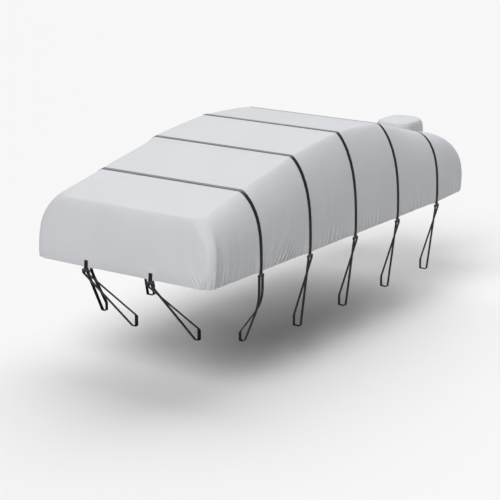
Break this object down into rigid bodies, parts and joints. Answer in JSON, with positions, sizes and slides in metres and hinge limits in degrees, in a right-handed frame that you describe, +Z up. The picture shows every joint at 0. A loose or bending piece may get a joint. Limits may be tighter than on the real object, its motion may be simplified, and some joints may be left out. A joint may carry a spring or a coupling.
{
  "type": "pontoon boat and outboard motor cover",
  "caption": "Fitted weather cover for a pontoon boat on its trailer, with black webbing over-straps and tie-down loops, and the separate hood of its outboard motor.",
  "frame": {"origin": "under the crest of the cover's top, on its underside and on the centreline, where the boat holds it up", "axes": "+X aft, from the bow to the stern; +Y to starboard; +Z up"},
  "size_m": [6.3555, 2.505, 2.115],
  "materials": {
    "cover_cloth": "light grey coated polyester, matt",
    "hood_cloth": "light grey coated polyester, matt",
    "webbing": "black woven webbing, sewn on",
    "tie_down_webbing": "black woven webbing",
    "buckle_plastic": "moulded, matt black"
  },
  "bodies": {
    "root": {"boat_cover": "cover_cloth", "motor_hood": "hood_cloth", "over_strap_1": "webbing", "hem_buckle_port_1": "buckle_plastic", "tie_down_port_1": "tie_down_webbing", "hem_buckle_starboard_1": "buckle_plastic", "tie_down_starboard_1": "tie_down_webbing", "over_strap_2": "webbing", "hem_buckle_port_2": "buckle_plastic", "tie_down_port_2": "tie_down_webbing", "hem_buckle_starboard_2": "buckle_plastic", "tie_down_starboard_2": "tie_down_webbing", "over_strap_3": "webbing", "hem_buckle_port_3": "buckle_plastic", "tie_down_port_3": "tie_down_webbing", "hem_buckle_starboard_3": "buckle_plastic", "tie_down_starboard_3": "tie_down_webbing", "over_strap_4": "webbing", "hem_buckle_port_4": "buckle_plastic", "tie_down_port_4": "tie_down_webbing", "hem_buckle_starboard_4": "buckle_plastic", "tie_down_starboard_4": "tie_down_webbing", "over_strap_5": "webbing", "hem_buckle_port_5": "buckle_plastic", "tie_down_port_5": "tie_down_webbing", "hem_buckle_starboard_5": "buckle_plastic", "tie_down_starboard_5": "tie_down_webbing", "bow_tab_port": "webbing", "bow_buckle_port": "buckle_plastic", "bow_tie_down_port": "tie_down_webbing", "bow_tab_starboard": "webbing", "bow_buckle_starboard": "buckle_plastic", "bow_tie_down_starboard": "tie_down_webbing"}
  },
  "joints": []
}
